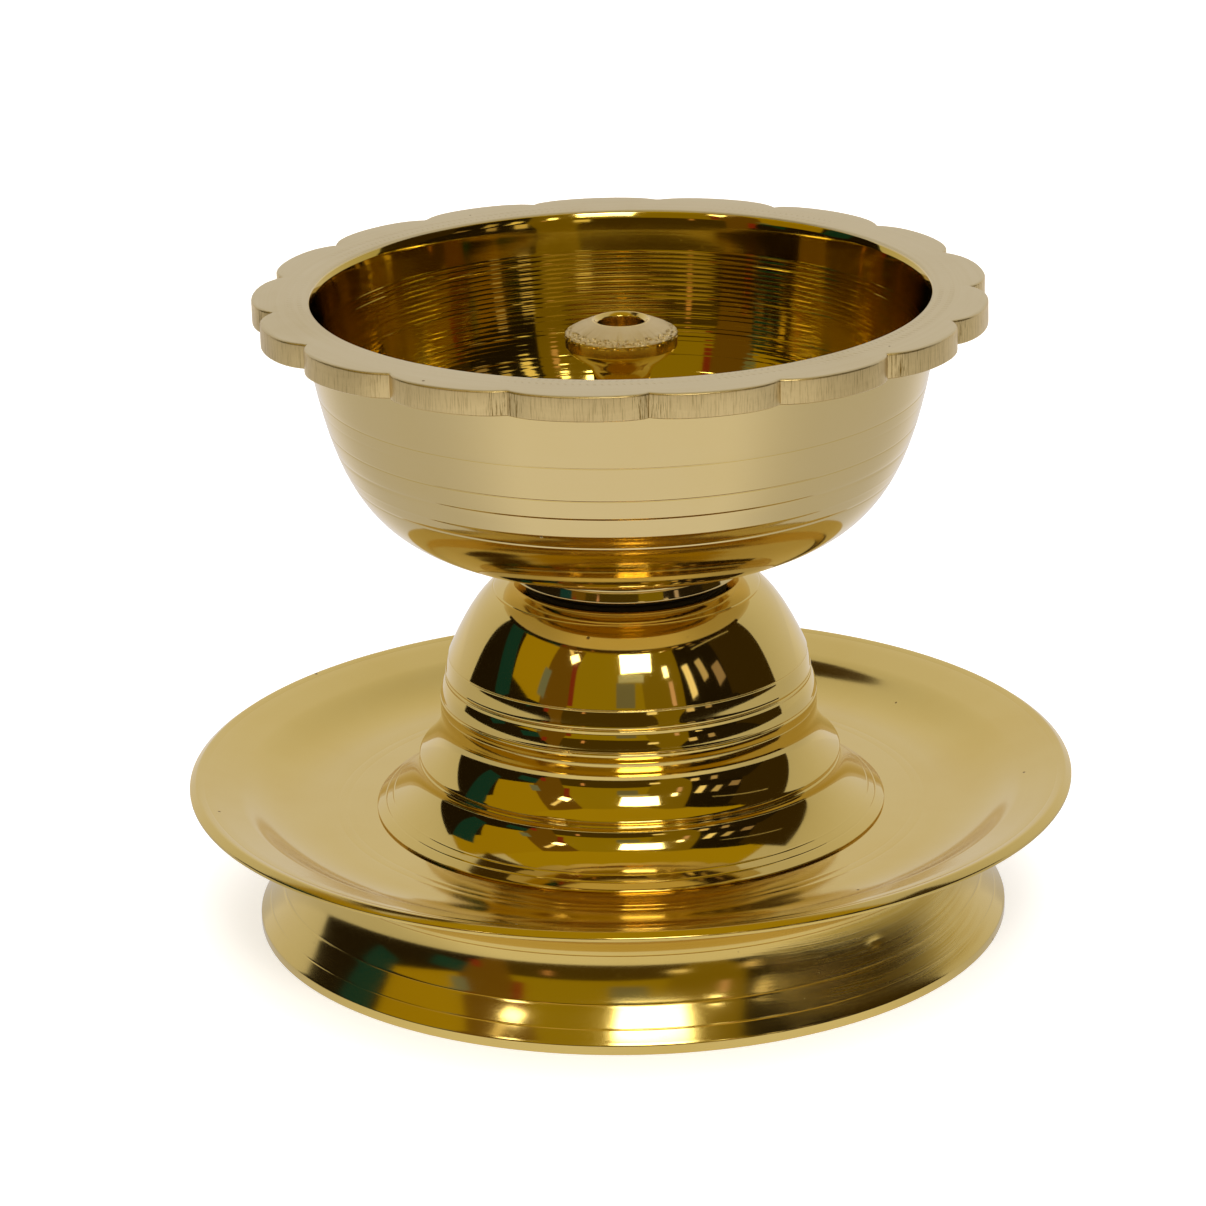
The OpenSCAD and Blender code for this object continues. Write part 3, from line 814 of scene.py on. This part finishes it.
def make_room():
    """The studio as the lamp sees it: a white sweep behind, and a dim warm room on the viewer's
    side with one large window."""
    amber = (0.44, 0.30, 0.004)
    olive = (0.32, 0.23, 0.004)
    black = (0.014, 0.009, 0.003)
    panels = [
        # name, azimuth, elevation, wide, high, lean, colour, strength, distance
        ("left_wall", -78, 26, 64, 60, 0, amber, 0.9, 1.75),
        ("left_recess", -100, 15, 34, 46, 0, black, 1.0, 1.70),
        ("teal_curtain", -95, 24, 11, 44, 38, (0.008, 0.045, 0.055), 1.0, 1.66),
        ("brown_wall", -50, 26, 18, 60, 0, (0.16, 0.085, 0.006), 1.0, 1.72),
        ("front_wall", -12, 28, 60, 60, 0, olive, 1.0, 1.74),
        ("right_wall", 24, 28, 24, 60, 0, (0.22, 0.15, 0.004), 1.0, 1.73),
        ("dark_door", 54, 26, 40, 60, 0, black, 1.0, 1.71),
        ("right_recess", 88, 24, 34, 56, 0, (0.04, 0.024, 0.003), 1.0, 1.70),
        ("left_high_recess", -122, 60, 20, 16, 0, (0.05, 0.028, 0.003), 1.0, 1.72),
        ("bench_left", -76, 8, 64, 24, 0, black, 1.2, 1.69),
        ("bench_front", -12, 8, 74, 23, 0, (0.07, 0.043, 0.003), 1.0, 1.69),
        ("bench_right", 60, 8, 84, 22, 0, black, 1.3, 1.69),
        ("bottle", -60, 27, 5, 9, 0, (0.30, 0.34, 0.36), 0.6, 1.6),
        ("red_post", -40, 32, 3, 18, 10, (0.22, 0.03, 0.015), 1.0, 1.6),
        ("left_lamp", -44, 42, 5, 5, 40, (1.0, 0.93, 0.8), 6.0, 1.58),
        ("left_lamp_row", -52, 47, 2, 9, 46, (1.0, 0.8, 0.5), 1.2, 1.58),
        ("window", 6, 46, 18, 14, 0, (1.0, 0.97, 0.92), 9.0, 1.6),
        ("window_sill", 2, 36.5, 15, 3.4, 0, (0.5, 0.5, 0.46), 1.0, 1.6),
        ("grey_stand", -2, 30, 11, 9, 0, (0.20, 0.19, 0.15), 0.9, 1.62),
        ("spot_lamp", 28, 37, 3, 5, 0, (1.0, 0.93, 0.8), 5.0, 1.58),
        ("spot_post", 30, 28, 2.5, 9, 0, (0.8, 0.5, 0.4), 0.9, 1.58),
        ("shelf_a", 44, 31, 4, 12, 6, (1.0, 0.85, 0.66), 1.2, 1.58),
        ("shelf_b", 55, 32, 4, 9, 8, (1.0, 0.8, 0.6), 0.6, 1.58),
        ("shelf_c", 66, 27, 6, 7, 6, (1.0, 0.72, 0.6), 0.35, 1.58),
        ("low_light_a", -28, 12, 2, 6, 0, (1.0, 0.5, 0.3), 0.7, 1.58),
        ("low_teal", -62, 12, 12, 10, 20, (0.008, 0.05, 0.06), 1.0, 1.6),
        ("low_light_b", 14, 10, 6, 4, 0, (1.0, 0.85, 0.6), 1.2, 1.58),
        ("low_light_c", 38, 9, 5, 7, 0, (1.0, 0.8, 0.6), 0.9, 1.58),
        ("low_light_d", 50, 10, 4, 8, 0, (1.0, 0.75, 0.6), 0.5, 1.58),
        ("low_red", -52, 8, 3, 8, 0, (0.25, 0.03, 0.015), 1.0, 1.58),
        ("cornice", 76, 42, 30, 0.7, -12, (1.0, 0.85, 0.6), 0.5, 1.58),
    ]
    for spec in panels:
        panel(*spec)
    # The ceiling closes the room above the panels.
    panel("ceiling", 0, 72, 110, 46, 0, (0.42, 0.295, 0.006), 1.0, 1.9)


def make_lights():
    """A soft fill from overhead that lights the table and stays out of the reflections."""
    fill = bpy.data.lights.new("overhead_fill", "AREA")
    fill.shape = "DISK"
    fill.size = 1.6
    fill.energy = 14
    lamp = bpy.data.objects.new("overhead_fill", fill)
    lamp.location = (0.1, -0.1, 1.3)
    lamp.visible_glossy = False
    lamp.visible_camera = False
    bpy.context.scene.collection.objects.link(lamp)
    world = bpy.data.worlds.new("white_sweep")
    world.use_nodes = True
    tree = world.node_tree
    path = tree.nodes.new("ShaderNodeLightPath")
    # The sweep is brightest straight behind the lamp.
    place = tree.nodes.new("ShaderNodeTexCoord")
    split = tree.nodes.new("ShaderNodeSeparateXYZ")
    tree.links.new(place.outputs["Generated"], split.inputs[0])
    behind = tree.nodes.new("ShaderNodeMapRange")
    behind.inputs["From Min"].default_value = 0.3
    behind.inputs["From Max"].default_value = 0.85
    behind.inputs["To Min"].default_value = 0.60
    behind.inputs["To Max"].default_value = 0.75
    tree.links.new(split.outputs["Y"], behind.inputs[0])
    strength = tree.nodes.new("ShaderNodeMapRange")
    strength.inputs["To Max"].default_value = 1.0
    tree.links.new(behind.outputs[0], strength.inputs["To Min"])
    tree.links.new(path.outputs["Is Camera Ray"], strength.inputs[0])
    sky = tree.nodes["Background"]
    sky.inputs["Color"].default_value = (1.0, 0.955, 0.97, 1)
    tree.links.new(strength.outputs[0], sky.inputs["Strength"])
    bpy.context.scene.world = world


def make_camera():
    """A long lens a little over half a metre away, looking down at the lamp."""
    yaw, pitch, roll = (math.radians(a) for a in (-0.29, 19.18, -1.28))
    forward = Vector((math.sin(yaw) * math.cos(pitch), math.cos(yaw) * math.cos(pitch),
                      -math.sin(pitch)))
    level = Vector((math.cos(yaw), -math.sin(yaw), 0))
    upright = level.cross(forward)
    right = level * math.cos(roll) + upright * math.sin(roll)
    up = upright * math.cos(roll) - level * math.sin(roll)
    data = bpy.data.cameras.new("view")
    data.lens = 148.5
    data.sensor_width = 36
    place = Vector((0, -10.567, 4.405)) * dish_r * MM
    camera = bpy.data.objects.new("view", data)
    turn = Matrix((right, up, -forward)).transposed().to_4x4()
    camera.matrix_world = Matrix.Translation(place) @ turn
    bpy.context.scene.collection.objects.link(camera)
    bpy.context.scene.camera = camera


make_floor()
make_room()
make_lights()
make_camera()
bpy.context.scene.view_settings.view_transform = "Standard"
